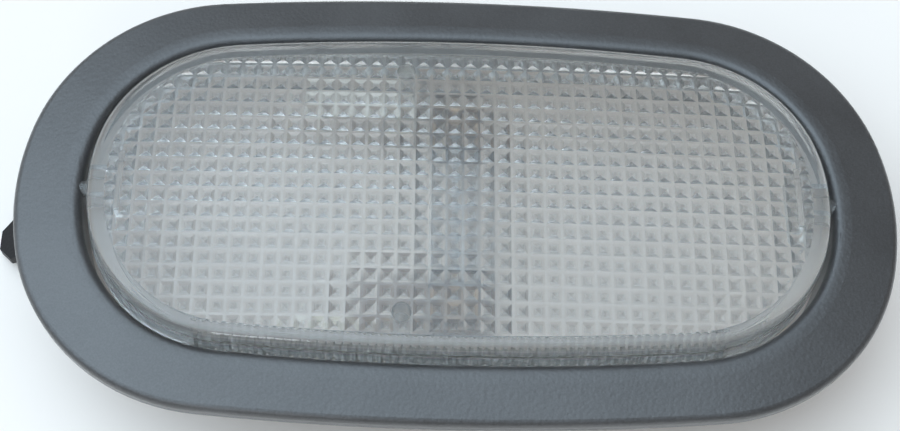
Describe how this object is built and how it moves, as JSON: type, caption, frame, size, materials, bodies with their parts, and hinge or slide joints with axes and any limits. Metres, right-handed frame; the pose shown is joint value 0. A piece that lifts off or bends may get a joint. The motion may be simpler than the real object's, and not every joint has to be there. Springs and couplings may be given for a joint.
{
  "type": "car dome light",
  "caption": "Oval interior roof lamp: grey bezel, clear prismatic lens that rocks to switch it, black housing with end tongue and spring clip, festoon bulb inside.",
  "frame": {"origin": "centre of the bezel's back plane, where it meets the roof lining", "axes": "+Z out of the lens into the cabin, +X along the long side, away from the tongue"},
  "size_m": [0.1446, 0.0734, 0.0287],
  "materials": {
    "bezel_plastic": "fine grained matte",
    "clear_lens": "clear, polished outside, prismatic inside",
    "black_plastic": "satin moulded",
    "white_reflector": "white satin",
    "bulb_glass": "clear",
    "plated_cap": "dull nickel plate",
    "tungsten": "drawn wire",
    "spring_brass": "rolled strip",
    "spring_steel": "blued spring strip"
  },
  "bodies": {
    "base": {"bezel": "bezel_plastic", "housing": "black_plastic", "reflector": "white_reflector", "bulb_glass": "bulb_glass", "bulb_cap_upper": "plated_cap", "bulb_cap_lower": "plated_cap", "bulb_filament": "tungsten", "live_contact": "spring_brass", "return_contact": "spring_brass", "ground_terminal": "spring_brass", "door_terminal": "spring_brass", "fixed_buttons": "plated_cap", "leaf_rivets": "spring_brass"},
    "lens_rocker": {"lens": "clear_lens"},
    "on_leaf": {"leaf_on": "spring_brass", "button_on": "plated_cap"},
    "door_leaf": {"leaf_door": "spring_brass", "button_door": "plated_cap"},
    "clip_spring": {"retaining_spring": "spring_steel"}
  },
  "joints": [
    {"name": "lens_rock", "type": "hinge", "parent": "base", "child": "lens_rocker", "pos_m": [0, 0, 0.0024], "axis": [1, 0, 0], "range_deg": [-3.5, 3.5]},
    {"name": "leaf_on_bend", "type": "hinge", "parent": "base", "child": "on_leaf", "pos_m": [-0.024, -0.0205, -0.0055], "axis": [0, 1, 0], "range_deg": [-5.2, 5.2]},
    {"name": "leaf_door_bend", "type": "hinge", "parent": "base", "child": "door_leaf", "pos_m": [-0.024, 0.0205, -0.0055], "axis": [0, 1, 0], "range_deg": [-5.2, 5.2]},
    {"name": "clip_flex", "type": "hinge", "parent": "base", "child": "clip_spring", "pos_m": [0.0635, 0, -0.0159], "axis": [0, -1, 0], "range_deg": [0, 8], "stiffness_Nm_per_rad": 0.5}
  ],
  "couplings": [
    {"joint": "leaf_on_bend", "follows": "lens_rock", "ratio": 1.3667},
    {"joint": "leaf_door_bend", "follows": "lens_rock", "ratio": -1.3667}
  ]
}
